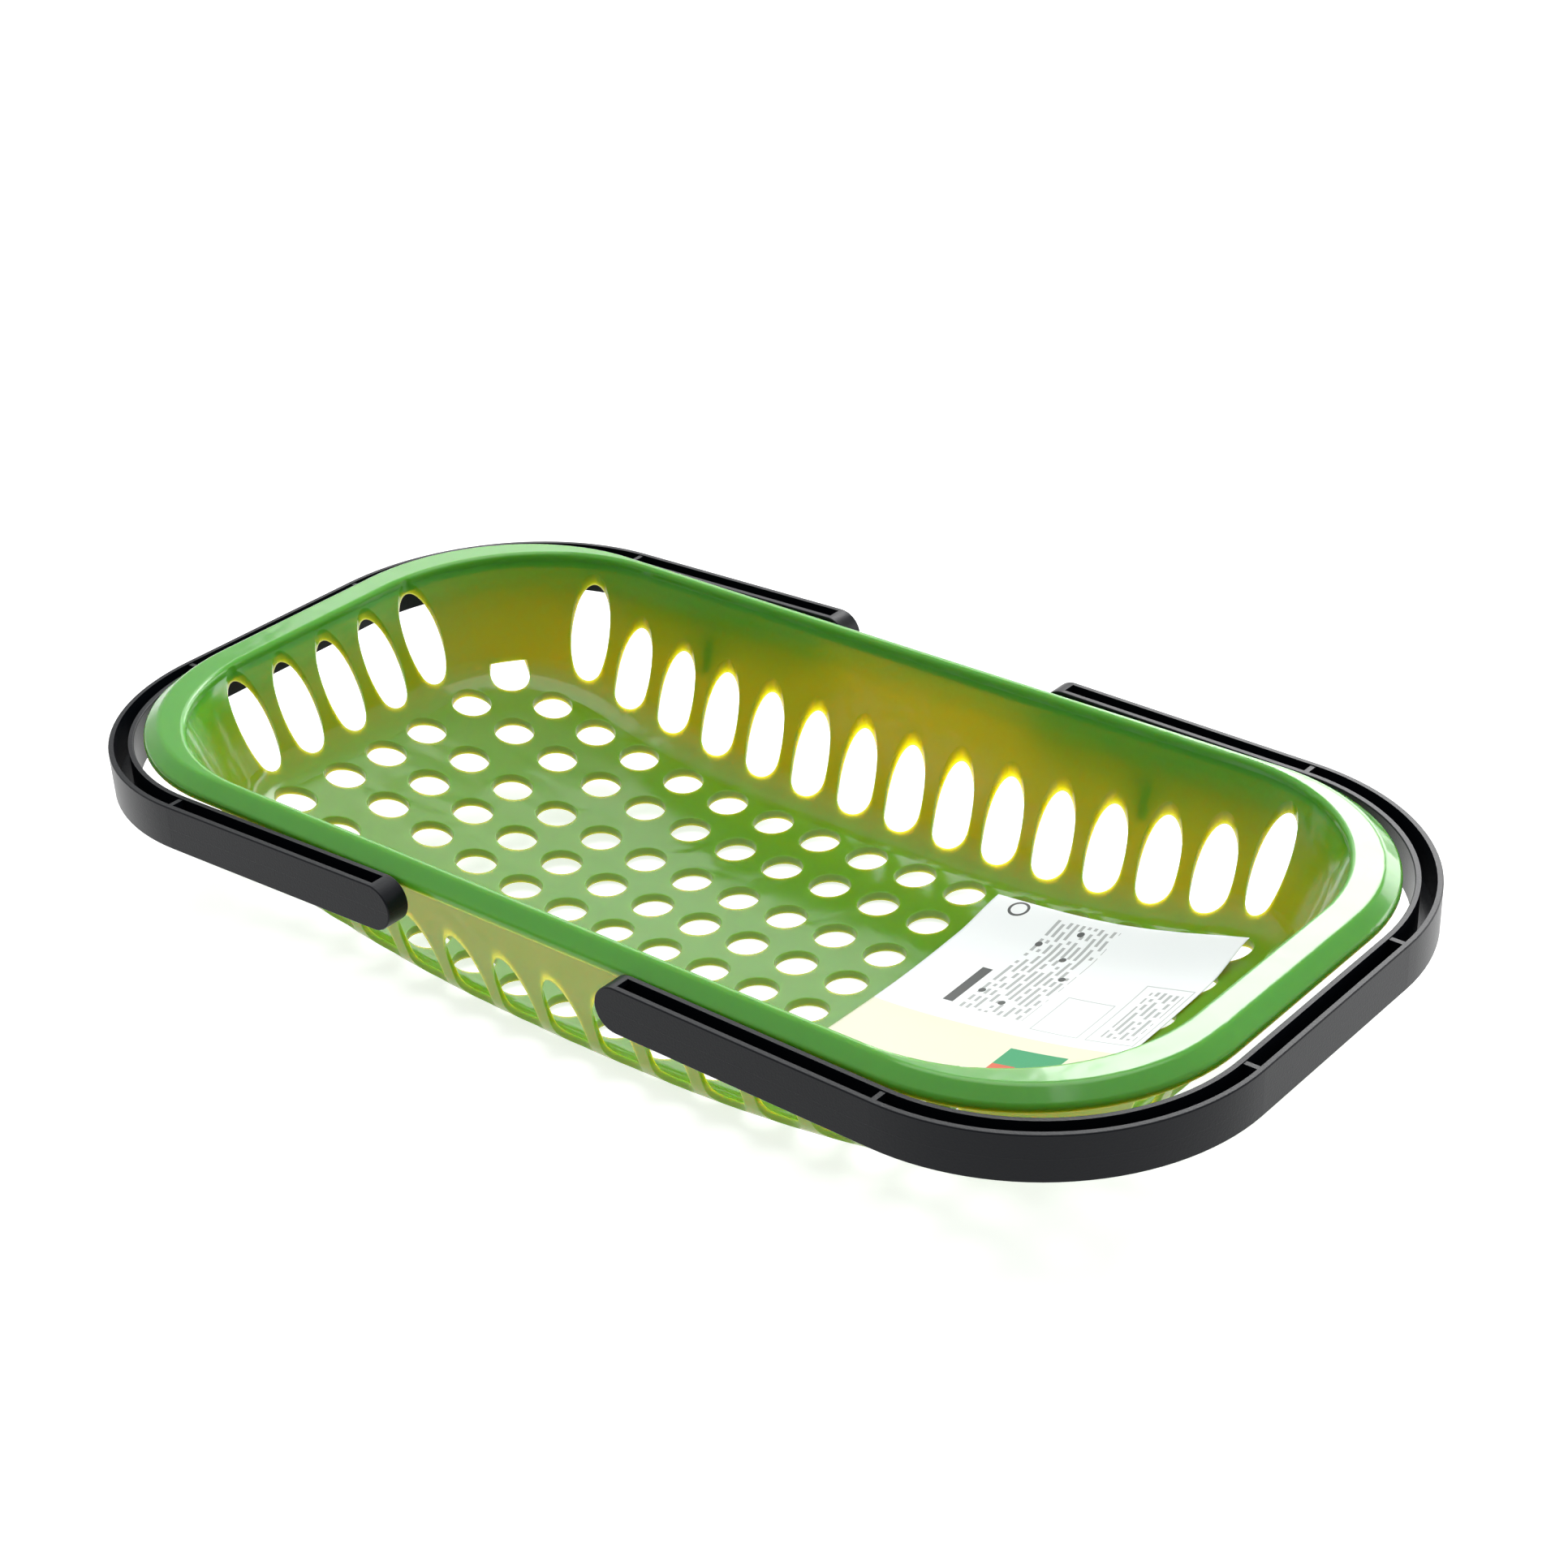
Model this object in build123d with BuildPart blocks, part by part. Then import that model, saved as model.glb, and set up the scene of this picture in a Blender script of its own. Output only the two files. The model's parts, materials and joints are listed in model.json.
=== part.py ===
"""Shallow garden hand basket: a perforated boat-bottomed moulding with two folding bail handles.

Frame: X along the basket, Y across it, +Z up.  The origin is the middle of the flat that the
basket stands on.  Lengths are millimetres, angles are degrees.
"""
from build123d import *
import math
import os

# ---- basket: heights ----------------------------------------------------------------------
TOTAL_HEIGHT = 47.5          # standing flat to the crest of the rim
RIM_DATUM = 45.3             # height at which the plan sizes of the rim are given
FLOOR_THICKNESS = 2.1
KEEL_FLAT = 25.0             # half-length of the level stretch of the floor's middle line
KEEL_RADIUS = 300.0          # arc that follows it at each end
KEEL_RAMP = 13.9             # slope of the straight ramps beyond the arcs, degrees
CROSS_RADIUS = 900.0         # curve of the floor across its middle
CROSS_EASE = 45.0            # distance along X over which the floor curves more across
STAND_FLAT_DEPTH = 0.2       # the floor is flattened by this much, which gives the standing face
FLOOR_GRID = (48, 12)        # steps of the grid of points that the floor surface goes through
FLOOR_GRID_MARGIN = 10.0     # how far that grid reaches outside the rim

# ---- basket: plan of the cavity and of the rim --------------------------------------------
CAVITY_LENGTH = 272.6        # between the end walls, at the rim datum
CAVITY_WIDTH = 139.6         # between the side walls, at the rim datum
CAVITY_CORNER = 46.5
FOOT_PLANE = -1.0            # height to which the walls are carried down
FOOT_LENGTH = 236.0          # plan of the walls at that height
FOOT_WIDTH = 112.4
FOOT_CORNER = 31.0
FOOT_SIDE_BOW = 3.6          # sagitta of the long sides at that height
WALL_RUN = 1.25              # wall thickness measured level
FLOOR_FILLET = 10.0          # inside radius between floor and walls
RIM_LENGTH = 294.6
RIM_WIDTH = 151.2
RIM_CORNER = 50.0
RIM_DEPTH = 4.4              # crest to underside of the rolled lip
LIP_EDGE = 1.6               # height of the lip's outer edge
LIP_FALL = 3.8               # width over which the lip's top falls towards that edge
LIP_CREST_ROUND = 2.0
LIP_EDGE_ROUND = 1.4
LIP_INNER_ROUND = 1.2

# ---- basket: openings ---------------------------------------------------------------------
PITCH = 14.6                 # along X, shared by the floor holes and the slots of the long walls
COLUMNS = 17
ROW_Y = (0.0, 14.3, 30.9, 45.5)   # rows of floor holes, the same on both sides
END_SLOTS = 5
HOLE_DIAMETER = 10.2
SLOT_WIDTH = 11.0            # along the wall
SIDE_SLOT_Y = (56.3, 65.2)   # plan extent of the middle slots in the long walls
SIDE_SLOT_GROWTH = 1.7       # the last slots reach this much further out
SIDE_SLOT_GROWTH_POWER = 4   # how late along the wall that growth sets in
END_SLOT_X = (125.6, 136.1)  # plan extent of the slots in the end walls
SLOT_CUT_TOP = 46.9          # the slots' cutting shapes end here, over every slot

# ---- bails --------------------------------------------------------------------------------
BAIL_LENGTH = 310.0          # over both grips, folded down
BAIL_WIDTH = 165.0
BAIL_CORNER = 54.5
CHANNEL_WIDTH = 6.0
CHANNEL_HEIGHT = 11.0
CHANNEL_WALL = 1.3
RIB_THICKNESS = 1.2
RIB_DROP = 0.2               # the ribs end this far below the channel's top
LOWER_EDGE_ROUND = 0.3
PIVOT_X = 35.1
PIVOT_Z = 40.0
DROOP = {"left": 1.7, "right": 0.9}   # angle at which each bail comes to rest

# ---- pivots and rests ---------------------------------------------------------------------
PEG_DIAMETER = 5.0
PEG_CLEARANCE = 0.05         # radial, peg in its bore
PEG_HEAD_DIAMETER = 6.6
PEG_HEAD_THICKNESS = 1.5
BOSS_DIAMETER = 8.4
SIDE_GAP = 0.3               # between a bail's inner face and the boss
REST_X = 65.7                # where the nubs under the arms stand
REST_THICKNESS = 2.4
REST_REACH = 78.4            # how far out from the middle they go
REST_GAP = 0.3
REST_TIP = 1.4               # height of a nub at its tip and at its root
REST_DEPTH = 7.0
REST_ROOT_INSET = 1.0        # the nub's underside meets the wall this far inside its line at the rim datum

# ---- label --------------------------------------------------------------------------------
LABEL_THICKNESS = 0.3
LABEL_LIFT = 0.05            # clear of the floor it is stuck to
LABEL_CENTRE = (73.5, 0.0)
LABEL_SIZE = (70.0, 84.0)

LIP_UNDERSIDE = TOTAL_HEIGHT - RIM_DEPTH
ABOVE = 1.0                  # how far cutting shapes stand clear of what they cut
ROOT_DEPTH = 8.0             # how far bosses and nubs start inside the cavity wall before it is cut
BAIL_Y_INNER = BAIL_WIDTH / 2 - CHANNEL_WIDTH
BORE_DIAMETER = PEG_DIAMETER + 2 * PEG_CLEARANCE
CHANNEL_RADIUS = CHANNEL_HEIGHT / 2


def barrel_rectangle(length, width, corner, bow=0.0):
    """A rounded rectangle whose long sides bow outwards by `bow`."""
    end_x, side_y = length / 2, width / 2
    corner_x = end_x - corner
    shoulder_y = side_y - bow
    corner_y = shoulder_y - corner
    with BuildSketch() as plan:
        with BuildLine():
            if bow:
                ThreePointArc((-corner_x, shoulder_y), (0, side_y), (corner_x, shoulder_y))
            else:
                Line((-corner_x, shoulder_y), (corner_x, shoulder_y))
            CenterArc((corner_x, corner_y), corner, 0, 90)
            Line((end_x, corner_y), (end_x, -corner_y))
            CenterArc((-corner_x, corner_y), corner, 90, 90)
            CenterArc((corner_x, -corner_y), corner, 270, 90)
            CenterArc((-corner_x, -corner_y), corner, 180, 90)
            if bow:
                ThreePointArc((-corner_x, -shoulder_y), (0, -side_y), (corner_x, -shoulder_y))
            else:
                Line((-corner_x, -shoulder_y), (corner_x, -shoulder_y))
            Line((-end_x, corner_y), (-end_x, -corner_y))
        make_face()
    return plan.sketch


def keel(x):
    """Rise of the floor's middle line: level, then an arc, then a straight ramp."""
    ramp = math.radians(KEEL_RAMP)
    run = max(0.0, abs(x) - KEEL_FLAT)
    arc_run = min(run, KEEL_RADIUS * math.sin(ramp))
    arc_rise = KEEL_RADIUS - math.sqrt(KEEL_RADIUS**2 - arc_run**2)
    return arc_rise + (run - arc_run) * math.tan(ramp)


def floor_height(x, y):
    """Height of the floor over its lowest point: the keel line plus a parabola across."""
    cross_curvature = (2 - 1 / (1 + (x / CROSS_EASE) ** 2)) / CROSS_RADIUS
    return keel(x) + cross_curvature * y**2 / 2


def floor_tool(lowest_z):
    """A block that holds everything under the floor surface."""
    steps_x, steps_y = FLOOR_GRID
    reach_x, reach_y = RIM_LENGTH / 2 + FLOOR_GRID_MARGIN, RIM_WIDTH / 2 + FLOOR_GRID_MARGIN
    xs = [reach_x * (2 * i / steps_x - 1) for i in range(steps_x + 1)]
    ys = [reach_y * (2 * i / steps_y - 1) for i in range(steps_y + 1)]
    grid = [[Vector(x, y, lowest_z + floor_height(x, y)) for y in ys] for x in xs]
    surface = Face.make_surface_from_array_of_points(grid, tol=0.005, min_deg=3, max_deg=5)
    with BuildPart() as tool:
        extrude(surface, amount=RIM_LENGTH / 2, dir=(0, 0, -1))
    return tool


def tub(grow, lowest_z, fillet_radius):
    """The flared tub, `grow` larger than the cavity all round, with its boat-shaped bottom."""
    with BuildPart() as form:
        with BuildSketch(Plane.XY.offset(RIM_DATUM)):
            add(barrel_rectangle(CAVITY_LENGTH + 2 * grow, CAVITY_WIDTH + 2 * grow, CAVITY_CORNER + grow))
        with BuildSketch(Plane.XY.offset(FOOT_PLANE)):
            add(barrel_rectangle(FOOT_LENGTH + 2 * grow, FOOT_WIDTH + 2 * grow, FOOT_CORNER + grow, FOOT_SIDE_BOW))
        loft(ruled=True)
        add(floor_tool(lowest_z).part, mode=Mode.SUBTRACT)
        bottom = form.part.faces().sort_by(Axis.Z)[0]
        fillet(bottom.edges(), fillet_radius)
    return form


def lattice_positions(count):
    """Centres of `count` lattice lines about the middle."""
    return [(i - (count - 1) / 2) * PITCH for i in range(count)]


def across(side, distance):
    """A plane square to Y at `distance` from the middle on one side, facing inwards."""
    return Plane(origin=(0, side * distance, 0), x_dir=(-side, 0, 0), z_dir=(0, -side, 0))


# ---- basket -------------------------------------------------------------------------------
outer_tub = tub(WALL_RUN, -STAND_FLAT_DEPTH, FLOOR_FILLET + FLOOR_THICKNESS)
cavity = tub(0, FLOOR_THICKNESS, FLOOR_FILLET)

# each pivot is a boss, a neck through the bail's inner wall and a head: diameter, from, to
PEG_STACK = [
    (BOSS_DIAMETER, CAVITY_WIDTH / 2 - ROOT_DEPTH, BAIL_Y_INNER - SIDE_GAP),
    (PEG_DIAMETER, BAIL_Y_INNER - SIDE_GAP, BAIL_Y_INNER + CHANNEL_WALL + SIDE_GAP),
    (PEG_HEAD_DIAMETER, BAIL_Y_INNER + CHANNEL_WALL + SIDE_GAP,
     BAIL_Y_INNER + CHANNEL_WALL + SIDE_GAP + PEG_HEAD_THICKNESS),
]

with BuildPart() as basket:
    add(outer_tub.part)
    # the rolled lip starts as a plate over the whole mouth, which the cavity then opens
    with BuildSketch(Plane.XY.offset(LIP_UNDERSIDE)):
        add(barrel_rectangle(RIM_LENGTH, RIM_WIDTH, RIM_CORNER))
    extrude(amount=LIP_EDGE)
    shoulder = LIP_UNDERSIDE + LIP_EDGE
    with BuildSketch(Plane.XY.offset(shoulder)):
        add(barrel_rectangle(RIM_LENGTH, RIM_WIDTH, RIM_CORNER))
    with BuildSketch(Plane.XY.offset(TOTAL_HEIGHT)):
        add(barrel_rectangle(RIM_LENGTH - 2 * LIP_FALL, RIM_WIDTH - 2 * LIP_FALL, RIM_CORNER - LIP_FALL))
    loft(ruled=True)
    fillet(basket.part.faces().sort_by(Axis.Z)[-1].edges(), LIP_CREST_ROUND)
    fillet(basket.part.edges().filter_by_position(Axis.Z, shoulder - 0.01, shoulder + 0.01), LIP_EDGE_ROUND)
    for side in (-1, 1):
        for diameter, start, stop in PEG_STACK:
            with BuildSketch(across(side, stop)):
                with Locations((-PIVOT_X, PIVOT_Z), (PIVOT_X, PIVOT_Z)):
                    Circle(diameter / 2)
            extrude(amount=stop - start)
        # nubs under the arms, on which the folded bails rest
        for end, name in ((-1, "left"), (1, "right")):
            drop = (REST_X - PIVOT_X + REST_THICKNESS / 2) * math.tan(math.radians(DROOP[name]))
            top = PIVOT_Z - CHANNEL_HEIGHT / 2 - drop - REST_GAP
            rest_plane = Plane(origin=(end * REST_X, 0, 0), x_dir=(0, side, 0), z_dir=(side, 0, 0))
            with BuildSketch(rest_plane):
                with BuildLine():
                    Polyline((CAVITY_WIDTH / 2 - ROOT_DEPTH, top), (REST_REACH, top),
                             (REST_REACH, top - REST_TIP), (CAVITY_WIDTH / 2 - REST_ROOT_INSET, top - REST_DEPTH),
                             (CAVITY_WIDTH / 2 - ROOT_DEPTH, top - REST_DEPTH), close=True)
                make_face()
            extrude(amount=REST_THICKNESS / 2, both=True)
    add(cavity.part, mode=Mode.SUBTRACT)
    with BuildSketch(Plane.XY.offset(RIM_DATUM)):
        add(barrel_rectangle(CAVITY_LENGTH, CAVITY_WIDTH, CAVITY_CORNER))
    extrude(amount=TOTAL_HEIGHT - RIM_DATUM + ABOVE, mode=Mode.SUBTRACT)
    crest = basket.part.faces().sort_by(Axis.Z)[-1]
    fillet(crest.inner_wires()[0].edges(), LIP_INNER_ROUND)
    # floor holes
    with BuildSketch(Plane.XY.offset(-ABOVE)):
        for y in sorted({side * row for row in ROW_Y for side in (-1, 1)}):
            with Locations((0, y)):
                with GridLocations(PITCH, PITCH, COLUMNS, 1):
                    Circle(HOLE_DIAMETER / 2)
    extrude(amount=RIM_DATUM / 2, mode=Mode.SUBTRACT)
    # wall slots: upright cuts, so the steep walls stretch them into tall drops
    with BuildSketch(Plane.XY.offset(-ABOVE)):
        side_x = lattice_positions(COLUMNS - 2)
        for x in side_x:
            outer_y = SIDE_SLOT_Y[1] + SIDE_SLOT_GROWTH * (x / side_x[-1]) ** SIDE_SLOT_GROWTH_POWER
            middle, half_depth = (SIDE_SLOT_Y[0] + outer_y) / 2, (outer_y - SIDE_SLOT_Y[0]) / 2
            with Locations((x, middle), (x, -middle)):
                Ellipse(SLOT_WIDTH / 2, half_depth)
        end_middle, half_depth = sum(END_SLOT_X) / 2, (END_SLOT_X[1] - END_SLOT_X[0]) / 2
        for y in lattice_positions(END_SLOTS):
            with Locations((end_middle, y), (-end_middle, y)):
                Ellipse(half_depth, SLOT_WIDTH / 2)
    extrude(amount=SLOT_CUT_TOP + ABOVE, mode=Mode.SUBTRACT)
    # the flat that the basket stands on
    split(bisect_by=Plane.XY, keep=Keep.TOP)
basket.part.label = "basket"


# ---- bails --------------------------------------------------------------------------------
def ring_band(inset, width):
    """Half of a rounded-rectangle ring, `inset` inside the bail's outline, on the +X side."""
    with BuildSketch() as band:
        add(barrel_rectangle(BAIL_LENGTH - 2 * inset, BAIL_WIDTH - 2 * inset, BAIL_CORNER - inset))
        inner = inset + width
        add(barrel_rectangle(BAIL_LENGTH - 2 * inner, BAIL_WIDTH - 2 * inner, BAIL_CORNER - inner),
            mode=Mode.SUBTRACT)
        with Locations((-BAIL_LENGTH / 2, 0)):
            Rectangle(BAIL_LENGTH, 2 * BAIL_WIDTH, mode=Mode.SUBTRACT)
    return band.sketch


def side_profile(radius, top):
    """Elevation of a bail: a round end about the pivot, then straight, up to `top`."""
    with BuildPart() as profile:
        with BuildSketch(Plane.XZ.offset(-BAIL_WIDTH)):
            with Locations((PIVOT_X, PIVOT_Z)):
                Circle(radius)
            with Locations((PIVOT_X, PIVOT_Z - radius)):
                Rectangle(BAIL_LENGTH, radius + top, align=(Align.MIN, Align.MIN))
        extrude(amount=2 * BAIL_WIDTH)
    return profile


def bail(side_name):
    """One bail at its place, folded down: an open channel with ribs, round-ended at the pivots."""
    bottom = PIVOT_Z - CHANNEL_RADIUS
    with BuildPart() as pocket:
        with BuildSketch(Plane.XY.offset(bottom)):
            add(ring_band(CHANNEL_WALL, CHANNEL_WIDTH - 2 * CHANNEL_WALL))
        extrude(amount=CHANNEL_HEIGHT + ABOVE)
        add(side_profile(CHANNEL_RADIUS - CHANNEL_WALL, CHANNEL_RADIUS + ABOVE).part, mode=Mode.INTERSECT)
        for side in (-1, 1):
            with Locations((BAIL_LENGTH / 2 - BAIL_CORNER, side * BAIL_WIDTH / 2, PIVOT_Z - RIB_DROP)):
                Box(RIB_THICKNESS, 3 * CHANNEL_WIDTH, CHANNEL_HEIGHT, mode=Mode.SUBTRACT)
            with Locations((BAIL_LENGTH / 2, side * (BAIL_WIDTH / 2 - BAIL_CORNER), PIVOT_Z - RIB_DROP)):
                Box(3 * CHANNEL_WIDTH, RIB_THICKNESS, CHANNEL_HEIGHT, mode=Mode.SUBTRACT)
    with BuildPart() as body:
        with BuildSketch(Plane.XY.offset(bottom)):
            add(ring_band(0, CHANNEL_WIDTH))
        extrude(amount=CHANNEL_HEIGHT)
        add(side_profile(CHANNEL_RADIUS, CHANNEL_RADIUS).part, mode=Mode.INTERSECT)
        fillet(body.part.edges().group_by(Axis.Z)[0], LOWER_EDGE_ROUND)
        add(pocket.part, mode=Mode.SUBTRACT)
        for side in (-1, 1):
            with BuildSketch(across(side, BAIL_Y_INNER + 2 * CHANNEL_WALL)):
                with Locations((PIVOT_X, PIVOT_Z), (-PIVOT_X, PIVOT_Z)):
                    Circle(BORE_DIAMETER / 2)
            extrude(amount=4 * CHANNEL_WALL, mode=Mode.SUBTRACT)
    drooped = body.part.rotate(Axis((PIVOT_X, 0, PIVOT_Z), (0, 1, 0)), DROOP[side_name])
    placed = drooped if side_name == "right" else drooped.rotate(Axis.Z, 180)
    placed.label = side_name + "_bail"
    return placed


left_bail = bail("left")
right_bail = bail("right")

# ---- label --------------------------------------------------------------------------------
with BuildPart() as label:
    with BuildSketch(Plane.XY.offset(-ABOVE)):
        with Locations(LABEL_CENTRE):
            Rectangle(*LABEL_SIZE)
    extrude(amount=RIM_DATUM)
    add(floor_tool(FLOOR_THICKNESS + LABEL_LIFT + LABEL_THICKNESS).part, mode=Mode.INTERSECT)
    add(floor_tool(FLOOR_THICKNESS + LABEL_LIFT).part, mode=Mode.SUBTRACT)
label.part.label = "label"

# ---- output -------------------------------------------------------------------------------
os.makedirs("parts", exist_ok=True)
export_step(basket.part, "parts/basket.step")
export_step(left_bail, "parts/left_bail.step")
export_step(right_bail, "parts/right_bail.step")
export_step(label.part, "parts/label.step")
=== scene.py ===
"""Looks of a shallow garden hand basket: a translucent green moulding, two dark bails, a paper label.

Lengths are given in millimetres and turned to metres where Blender needs them.
"""
import json
import math

import bpy
import numpy as np
from mathutils import Matrix, Vector

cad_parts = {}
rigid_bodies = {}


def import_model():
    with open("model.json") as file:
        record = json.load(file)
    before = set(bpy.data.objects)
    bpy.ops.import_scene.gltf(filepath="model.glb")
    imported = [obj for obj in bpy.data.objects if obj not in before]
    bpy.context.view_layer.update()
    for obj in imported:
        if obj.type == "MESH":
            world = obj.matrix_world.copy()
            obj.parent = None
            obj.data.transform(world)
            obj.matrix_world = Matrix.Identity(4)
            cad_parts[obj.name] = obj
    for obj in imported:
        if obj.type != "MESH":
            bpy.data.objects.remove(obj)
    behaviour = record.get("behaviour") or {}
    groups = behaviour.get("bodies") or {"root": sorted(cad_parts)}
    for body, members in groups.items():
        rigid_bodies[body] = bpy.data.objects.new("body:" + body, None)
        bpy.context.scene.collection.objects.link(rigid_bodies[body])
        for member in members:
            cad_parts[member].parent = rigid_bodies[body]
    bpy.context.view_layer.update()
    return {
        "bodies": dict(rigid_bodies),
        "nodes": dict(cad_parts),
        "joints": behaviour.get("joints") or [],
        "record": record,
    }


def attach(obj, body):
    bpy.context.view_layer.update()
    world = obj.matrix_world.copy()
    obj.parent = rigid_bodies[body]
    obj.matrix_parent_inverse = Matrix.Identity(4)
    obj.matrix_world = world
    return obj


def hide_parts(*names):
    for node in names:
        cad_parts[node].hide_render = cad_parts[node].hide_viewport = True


MM = 0.001

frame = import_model()
nodes = frame["nodes"]

# ---- camera -------------------------------------------------------------------------------
CAMERA_PLACE = (415.6, -476.6, 393.1)
CAMERA_YAW = 40.18      # turn about the upright, degrees
CAMERA_PITCH = 61.08    # from looking straight down, degrees
CAMERA_ROLL = -2.41     # about the line of sight, degrees
LENS = 73.44
SENSOR = 36.0
CLIP_START = 0.01       # metres

# ---- basket -------------------------------------------------------------------------------
FLOOR_TOP = 2.1         # height of the floor's upper face at its lowest point
KEEL_FLAT = 25.0        # the floor's middle line is level to here,
KEEL_RADIUS = 300.0     # then follows this arc,
KEEL_RAMP = 13.9        # then climbs at this angle, degrees
CROSS_RADIUS = 900.0    # curve of the floor across its middle
CROSS_EASE = 45.0       # distance along X over which the floor curves more across
FLOW_WAVE = 14.0        # spacing of the ripples that the melt's flow leaves in a glossy face
FLOW_HEIGHT = 0.8       # their height, before the bump's strength
SCATTER = 3.6           # how far light spreads inside the plastic, times the share of each colour
SCATTER_SHARES = (2.0, 1.0, 0.08)
WALL_GLOW, LIP_GLOW = 0.24, 0.03    # share of light let through by the walls and by the thick lip
LIP_FOOT, LIP_FULL = 36.0, 42.5     # the wall thickens into the lip between these heights
EDGE_ROUND = 0.45       # the moulded edges of holes and slots are this round

# ---- bails --------------------------------------------------------------------------------
PIVOT_X, PIVOT_Z = 35.1, 40.0           # where the bails are hinged
DROOP = {"left": 1.7, "right": 0.9}     # angle at which each bail comes to rest, degrees
PARTING_HALF = 0.12     # half the width of the parting ridge
PARTING_HEIGHT = 6.0    # its height, in heights of the grain
GRAIN = 0.5             # grain of the satin faces, drawn coarser than the real one so that it shows
GRAIN_HEIGHT = 0.1      # its height, before the bump's strength

# ---- the label's sheet --------------------------------------------------------------------
SHEET_X = (38.6, 106.6)
SHEET_Y = (-34.0, 46.0)
SHEET_STEPS = (96, 110)
SHEET_THICKNESS = 0.12
SHEET_LIFT = 0.25       # the sheet lies this far over the floor
CURL_RISE = 2.6         # how far its far edge stands up
CURL_START = 30.0       # where across the basket it starts to rise
CURL_LEAST = 0.55       # share of the full rise at the sheet's inner end
WRINKLE = 0.22          # height of the shallow wrinkles
WRINKLE_X, WRINKLE_Y = 9.0, 11.0        # their run in both directions, per radian
WRINKLE_SHIFT = 0.9                     # start of the one across, radians
SWAY, SWAY_Y = 0.6, 13.0                # how much they sway, radians, and how often

# ---- the label's print, in the basket's own plan --------------------------------------------
PRINT_LINE = 0.35
PRINT_ROW = 1.7         # rows run across the basket,
PRINT_ROW_INK = 0.5     # half of each is ink,
PRINT_MARK = 1.2        # and they are broken into marks of this length,
PRINT_MARK_SHARE = 0.72     # this many of which are printed
PRINT_ROWS = (((57.5, 75.0), (4.0, 43.0)), ((95.5, 104.0), (4.0, 24.5)))
PRINT_RING = (46.6, 43.0)
PRINT_RING_RADIUS = 2.3
PRINT_SPOTS = ((58.5, 34.0), (58.5, 12.0), (66.0, 40.0), (67.5, 30.5), (72.5, 23.0), (66.0, 9.0))
PRINT_SPOT_RADIUS = 0.9
PRINT_BAR = ((52.6, 55.4), (5.0, 20.5))
PRINT_FRAMES = (((92.9, 105.4), (1.7, 26.5)), ((78.5, 91.0), (1.7, 17.0)))
PRINT_FOOT = -2.0       # the cream foot of the sheet begins here
PRINT_PICTURE = ((80.0, 95.0), (-19.0, -7.0))
PRINT_PICTURE_FOOT = ((80.0, 86.0), (-19.0, -14.0))

# ---- studio -------------------------------------------------------------------------------
TABLE_SIZE = 4000.0
TABLE_DROP = 0.2        # the table lies this far under the standing flat
ROOM_BRIGHT_SIDE = (-0.3, 0.6, 0.75)
ROOM_DIM, ROOM_BRIGHT = 0.1, 1.0
ROOM_FADE = (-0.5, 0.6)     # cosines, from that side, between which the room goes from dim to bright
SOFTBOXES = (           # name, place, aim, size, radiance
    ("overhead_softbox", (0, 150, 1100), (0, 0, 0), (1000, 800), 2.4),
    ("back_panel", (-650, 950, 700), (0, 0, 20), (900, 650), 2.0),
    ("rear_strip", (120, 800, 190), (40, 0, 25), (1100, 260), 4.2),
    ("back_softbox", (-300, 1000, 750), (60, 0, 20), (500, 350), 9.0),
)


def make_camera():
    """A three-quarter view from the front right, slightly above."""
    data = bpy.data.cameras.new("camera")
    data.lens = LENS
    data.sensor_width = SENSOR
    data.clip_start = CLIP_START
    camera = bpy.data.objects.new("camera", data)
    turn = Matrix.Rotation(math.radians(CAMERA_YAW), 4, "Z")
    tilt = Matrix.Rotation(math.radians(CAMERA_PITCH), 4, "X")
    roll = Matrix.Rotation(math.radians(CAMERA_ROLL), 4, "Z")
    camera.matrix_world = Matrix.Translation(Vector(CAMERA_PLACE) * MM) @ turn @ tilt @ roll
    bpy.context.scene.collection.objects.link(camera)
    bpy.context.scene.camera = camera


# ---- materials ----------------------------------------------------------------------------
def linear(hex_colour):
    """An sRGB hex colour as the linear values that shaders take."""
    values = [int(hex_colour[i:i + 2], 16) / 255 for i in (1, 3, 5)]
    return [v / 12.92 if v <= 0.04045 else ((v + 0.055) / 1.055) ** 2.4 for v in values] + [1.0]


def add_node(tree, kind, settings=None, inputs=None):
    """One shader node with its settings, its input values and the sockets that feed it."""
    node = tree.nodes.new(kind)
    for key, value in (settings or {}).items():
        setattr(node, key, value)
    for key, value in (inputs or {}).items():
        if isinstance(value, bpy.types.NodeSocket):
            tree.links.new(value, node.inputs[key])
        else:
            node.inputs[key].default_value = value
    return node


def new_material(name):
    """An empty node material and its tree."""
    material = bpy.data.materials.new(name)
    material.use_nodes = True
    material.node_tree.nodes.clear()
    return material, material.node_tree


def finish_material(tree, shader):
    """Joins the last shader to the material's output."""
    add_node(tree, "ShaderNodeOutputMaterial", inputs={"Surface": shader})


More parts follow.
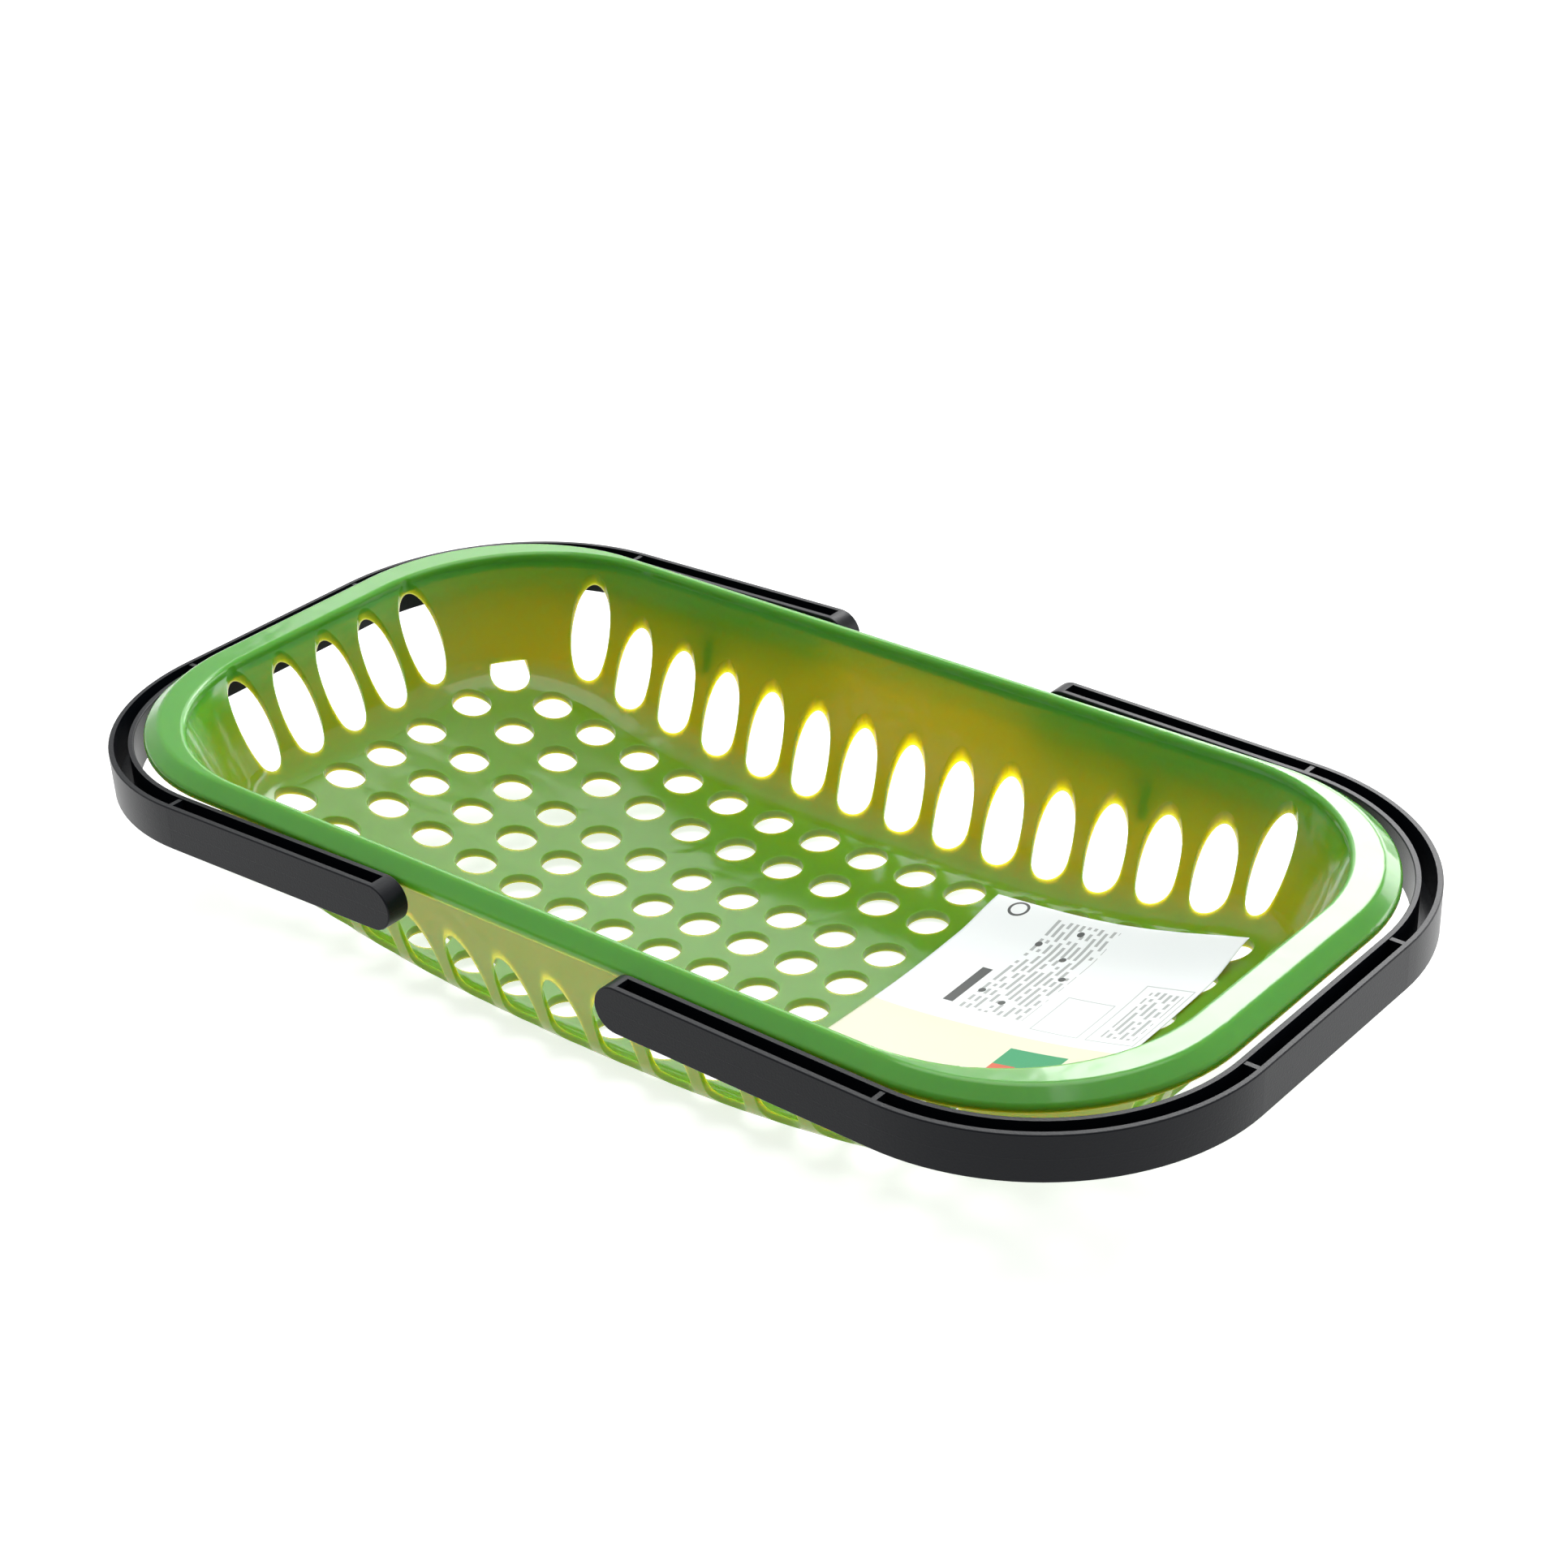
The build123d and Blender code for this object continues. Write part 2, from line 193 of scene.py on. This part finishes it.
def green_polypropylene():
    """Polypropylene tinted through in leaf green, injection-moulded against a polished tool.

    It is glossy, and light that enters one side leaves the other yellower: the thin walls glow,
    the thick lip hardly does.
    """
    material, tree = new_material("green_polypropylene")
    place = add_node(tree, "ShaderNodeTexCoord").outputs["Object"]
    flow = add_node(tree, "ShaderNodeTexNoise", inputs={
        "Vector": place, "Scale": 1 / (FLOW_WAVE * MM), "Detail": 1.5, "Distortion": 0.6})
    edges = add_node(tree, "ShaderNodeBevel", {"samples": 4}, {"Radius": EDGE_ROUND * MM})
    bump = add_node(tree, "ShaderNodeBump", inputs={
        "Height": flow.outputs["Fac"], "Strength": 0.35, "Distance": FLOW_HEIGHT * MM,
        "Normal": edges.outputs[0]})
    body = add_node(tree, "ShaderNodeBsdfPrincipled", {"subsurface_method": "RANDOM_WALK"}, {
        "Base Color": linear("#479526"), "Roughness": 0.13, "IOR": 1.49,
        "Normal": bump.outputs["Normal"], "Subsurface Weight": 1.0,
        "Subsurface Scale": SCATTER * MM, "Subsurface Radius": SCATTER_SHARES})
    glow = add_node(tree, "ShaderNodeBsdfTranslucent", inputs={
        "Color": linear("#ffdc00"), "Normal": bump.outputs["Normal"]})
    height = add_node(tree, "ShaderNodeSeparateXYZ", inputs={0: place}).outputs[2]
    share = add_node(tree, "ShaderNodeMapRange", {"interpolation_type": "SMOOTHSTEP"}, {
        "Value": height, "From Min": LIP_FOOT * MM, "From Max": LIP_FULL * MM,
        "To Min": WALL_GLOW, "To Max": LIP_GLOW}).outputs[0]
    mix = add_node(tree, "ShaderNodeMixShader", inputs={
        "Fac": share, 1: body.outputs[0], 2: glow.outputs[0]})
    finish_material(tree, mix.outputs[0])
    return material


def charcoal_polypropylene(side):
    """Black polypropylene moulded in a spark-eroded tool: dark satin with a fine grain.

    The tool's halves met half-way up the channel, which leaves a fine ridge along the outer face.
    It runs along the bail, so it slopes by the bail's droop: it is where
    z + |x| tan(droop) = pivot z + pivot x tan(droop).
    """
    material, tree = new_material("charcoal_polypropylene_" + side)
    place = add_node(tree, "ShaderNodeTexCoord").outputs["Object"]
    grain = add_node(tree, "ShaderNodeTexNoise", inputs={
        "Vector": place, "Scale": 1 / (GRAIN * MM), "Detail": 2.0})
    parts = add_node(tree, "ShaderNodeSeparateXYZ", inputs={0: place})
    slope = math.tan(math.radians(DROOP[side]))
    along = add_node(tree, "ShaderNodeMath", {"operation": "ABSOLUTE"}, {0: parts.outputs[0]})
    height = add_node(tree, "ShaderNodeMath", {"operation": "MULTIPLY_ADD"}, {
        0: along.outputs[0], 1: slope, 2: parts.outputs[2]})
    ridge = add_node(tree, "ShaderNodeMath", {"operation": "COMPARE"}, {
        0: height.outputs[0], 1: (PIVOT_Z + PIVOT_X * slope) * MM, 2: PARTING_HALF * MM})
    relief = add_node(tree, "ShaderNodeMath", {"operation": "MULTIPLY_ADD"}, {
        0: ridge.outputs[0], 1: PARTING_HEIGHT, 2: grain.outputs["Fac"]})
    bump = add_node(tree, "ShaderNodeBump", inputs={
        "Height": relief.outputs[0], "Strength": 0.3, "Distance": GRAIN_HEIGHT * MM})
    body = add_node(tree, "ShaderNodeBsdfPrincipled", inputs={
        "Base Color": linear("#070a10"), "Roughness": 0.34, "IOR": 1.49, "Specular IOR Level": 0.18,
        "Normal": bump.outputs["Normal"]})
    finish_material(tree, body.outputs[0])
    return material


def label_paper():
    """Coated label paper, offset printed: bright white, with a slight gloss."""
    material, tree = new_material("coated_label_paper")
    body = add_node(tree, "ShaderNodeBsdfPrincipled", inputs={
        "Base Color": printed_colour(tree), "Roughness": 0.42, "Specular IOR Level": 0.4})
    finish_material(tree, body.outputs[0])
    return material


def printed_colour(tree):
    """The label's print: a cream foot, grey rows, a bar, frames, a ring, spots and a small block.

    It is read from the sheet's own attribute, its place in millimetres. Every shape is sharp-edged:
    1 where the distance from its middle is less than its half size, in both directions or all round.
    """
    place = add_node(tree, "ShaderNodeSeparateXYZ", inputs={
        0: add_node(tree, "ShaderNodeAttribute", {"attribute_name": "print_place"}).outputs["Vector"]})
    x, y = place.outputs[0], place.outputs[1]

    def maths(operation, *values):
        """The result of one sum, with sockets or numbers as its terms."""
        node = add_node(tree, "ShaderNodeMath", {"operation": operation}, dict(enumerate(values)))
        return node.outputs[0]

    def band(value, middle, half):
        """1 where |value - middle| < half."""
        return maths("LESS_THAN", maths("ABSOLUTE", maths("SUBTRACT", value, middle)), half)

    def patch(x_range, y_range):
        """1 inside a rectangle."""
        sides = [band(v, sum(r) / 2, (r[1] - r[0]) / 2) for v, r in ((x, x_range), (y, y_range))]
        return maths("MULTIPLY", *sides)

    def outline(x_range, y_range):
        """1 on the line round a rectangle."""
        inner = [(r[0] + PRINT_LINE, r[1] - PRINT_LINE) for r in (x_range, y_range)]
        return maths("SUBTRACT", patch(x_range, y_range), patch(*inner))

    def distance(middle):
        """Distance in the plan from a point."""
        squares = [maths("POWER", maths("SUBTRACT", v, m), 2.0) for v, m in zip((x, y), middle)]
        return maths("SQRT", maths("ADD", *squares))

    cells = add_node(tree, "ShaderNodeCombineXYZ", inputs={
        0: maths("FLOOR", maths("DIVIDE", x, PRINT_ROW)),
        1: maths("FLOOR", maths("DIVIDE", y, PRINT_MARK))})
    marks = add_node(tree, "ShaderNodeTexWhiteNoise", {"noise_dimensions": "2D"}, {
        "Vector": cells.outputs[0]}).outputs[0]
    rows = maths("MULTIPLY",
                 maths("LESS_THAN", maths("FRACT", maths("DIVIDE", x, PRINT_ROW)), PRINT_ROW_INK),
                 maths("LESS_THAN", marks, PRINT_MARK_SHARE))
    greys = maths("MULTIPLY", rows, maths("MAXIMUM", *[patch(*block) for block in PRINT_ROWS]))
    dark = maths("MAXIMUM", band(distance(PRINT_RING), PRINT_RING_RADIUS, PRINT_LINE),
                 patch(*PRINT_BAR))
    for middle in PRINT_SPOTS:
        dark = maths("MAXIMUM", dark, maths("LESS_THAN", distance(middle), PRINT_SPOT_RADIUS))
    frames = maths("MAXIMUM", *[outline(*frame) for frame in PRINT_FRAMES])
    inks = (
        (maths("LESS_THAN", y, PRINT_FOOT), "#d9d8bd"),
        (greys, "#a3a6a7"),
        (frames, "#b4b8ba"),
        (dark, "#4a4c4e"),
        (patch(*PRINT_PICTURE), "#1f8e5c"),
        (patch(*PRINT_PICTURE_FOOT), "#c65a3a"),
    )
    colour = linear("#e3e6e8")
    for mask, ink in inks:
        # a colour Mix node: 6 and 7 are its two colours, 2 is its colour output
        colour = add_node(tree, "ShaderNodeMix", {"data_type": "RGBA"}, {
            "Factor": mask, 6: colour, 7: linear(ink)}).outputs[2]
    return colour


def table_white():
    """White acrylic table, lit through from below."""
    material, tree = new_material("table_white")
    body = add_node(tree, "ShaderNodeBsdfPrincipled", inputs={
        "Base Color": linear("#c4c4c4"), "Roughness": 0.7, "Specular IOR Level": 0.1,
        "Emission Color": linear("#ffffff"), "Emission Strength": 0.72})
    finish_material(tree, body.outputs[0])
    return material


def dress(node, material):
    """Gives a CAD node its material."""
    nodes[node].data.materials.clear()
    nodes[node].data.materials.append(material)


# ---- label --------------------------------------------------------------------------------
def keel(x):
    """Rise of the floor's middle line: level, then an arc, then a straight ramp."""
    ramp = math.radians(KEEL_RAMP)
    run = np.maximum(0.0, np.abs(x) - KEEL_FLAT)
    arc = np.minimum(run, KEEL_RADIUS * math.sin(ramp))
    return KEEL_RADIUS - np.sqrt(KEEL_RADIUS ** 2 - arc ** 2) + (run - arc) * math.tan(ramp)


def floor_height(x, y):
    """The keel line plus a parabola across, of curvature (2 - 1/(1 + (x/ease)^2)) / radius."""
    curvature = (2 - 1 / (1 + (x / CROSS_EASE) ** 2)) / CROSS_RADIUS
    return FLOOR_TOP + keel(x) + curvature * y ** 2 / 2


def make_label():
    """The paper sheet: the floor's height, a small lift, shallow wrinkles and a curled far edge.

    z = floor(x, y) + lift + curl s^2 (3 - 2 s) (least + (1 - least) u^2) + wrinkle (1 + waves), with
    s going from 0 at the curl's start to 1 at the far edge, u from 0 to 1 along the sheet, and
    waves = sin(x / a + sway sin(y / b)) sin(y / c + shift).
    """
    u, v = np.meshgrid(*[np.linspace(0, 1, steps) for steps in SHEET_STEPS], indexing="ij")
    x = SHEET_X[0] + (SHEET_X[1] - SHEET_X[0]) * u
    y = SHEET_Y[0] + (SHEET_Y[1] - SHEET_Y[0]) * v
    rise = np.clip((y - CURL_START) / (SHEET_Y[1] - CURL_START), 0, 1)
    curl = CURL_RISE * rise ** 2 * (3 - 2 * rise) * (CURL_LEAST + (1 - CURL_LEAST) * u ** 2)
    waves = np.sin(x / WRINKLE_X + SWAY * np.sin(y / SWAY_Y)) * np.sin(y / WRINKLE_Y + WRINKLE_SHIFT)
    z = floor_height(x, y) + SHEET_LIFT + curl + WRINKLE * (1 + waves)
    place = np.stack([x, y, z], axis=-1)
    index = np.arange(u.size).reshape(SHEET_STEPS)
    corners = (index[:-1, :-1], index[1:, :-1], index[1:, 1:], index[:-1, 1:])
    faces = np.stack(corners, axis=-1).reshape(-1, 4)
    mesh = bpy.data.meshes.new("paper_label")
    mesh.from_pydata((place.reshape(-1, 3) * MM).tolist(), [], faces.tolist())
    mesh.polygons.foreach_set("use_smooth", [True] * len(faces))
    attribute = mesh.attributes.new("print_place", "FLOAT_VECTOR", "POINT")
    attribute.data.foreach_set("vector", place.reshape(-1).astype(np.float32))
    sheet = bpy.data.objects.new("paper_label", mesh)
    bpy.context.scene.collection.objects.link(sheet)
    solid = sheet.modifiers.new("paper", "SOLIDIFY")
    solid.thickness = SHEET_THICKNESS * MM
    solid.offset = 1.0
    sheet.data.materials.append(label_paper())
    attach(sheet, "basket")
    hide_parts("label")


# ---- light and table ------------------------------------------------------------------------
def softbox(name, place, aim, size, radiance):
    """An area light at `place`, turned to `aim`, with the given radiance."""
    width, height = (side * MM for side in size)
    data = bpy.data.lights.new(name, "AREA")
    data.shape = "RECTANGLE"
    data.size, data.size_y = width, height
    data.energy = radiance * math.pi * width * height
    lamp = bpy.data.objects.new(name, data)
    lamp.location = Vector(place) * MM
    lamp.rotation_euler = (Vector(aim) - Vector(place)).to_track_quat("-Z", "Y").to_euler()
    bpy.context.scene.collection.objects.link(lamp)


def make_world():
    """A white room lit from above and behind: dim in front, but white where it is itself in view."""
    world = bpy.data.worlds.new("studio")
    bpy.context.scene.world = world
    world.use_nodes = True
    tree = world.node_tree
    tree.nodes.clear()
    way = add_node(tree, "ShaderNodeTexCoord").outputs["Generated"]
    facing = add_node(tree, "ShaderNodeVectorMath", {"operation": "DOT_PRODUCT"}, {
        0: way, 1: Vector(ROOM_BRIGHT_SIDE).normalized()}).outputs["Value"]
    light = add_node(tree, "ShaderNodeMapRange", {"interpolation_type": "SMOOTHSTEP"}, {
        "Value": facing, "From Min": ROOM_FADE[0], "From Max": ROOM_FADE[1],
        "To Min": ROOM_DIM, "To Max": ROOM_BRIGHT}).outputs[0]
    seen = add_node(tree, "ShaderNodeLightPath").outputs["Is Camera Ray"]
    strength = add_node(tree, "ShaderNodeMath", {"operation": "MAXIMUM"}, {0: light, 1: seen})
    sky = add_node(tree, "ShaderNodeBackground", inputs={
        "Color": linear("#ffffff"), "Strength": strength.outputs[0]})
    add_node(tree, "ShaderNodeOutputWorld", inputs={"Surface": sky.outputs[0]})


def make_studio():
    """A white table in a white room, with soft light from above and from behind."""
    bpy.ops.mesh.primitive_plane_add(size=TABLE_SIZE * MM, location=(0, 0, -TABLE_DROP * MM))
    table = bpy.context.object
    table.name = "table"
    table.data.materials.append(table_white())
    make_world()
    for row in SOFTBOXES:
        softbox(*row)
    bpy.context.scene.view_settings.view_transform = "Standard"


# ---- the scene ----------------------------------------------------------------------------
make_camera()
make_studio()
dress("basket", green_polypropylene())
for side in DROOP:
    dress(side + "_bail", charcoal_polypropylene(side))
make_label()
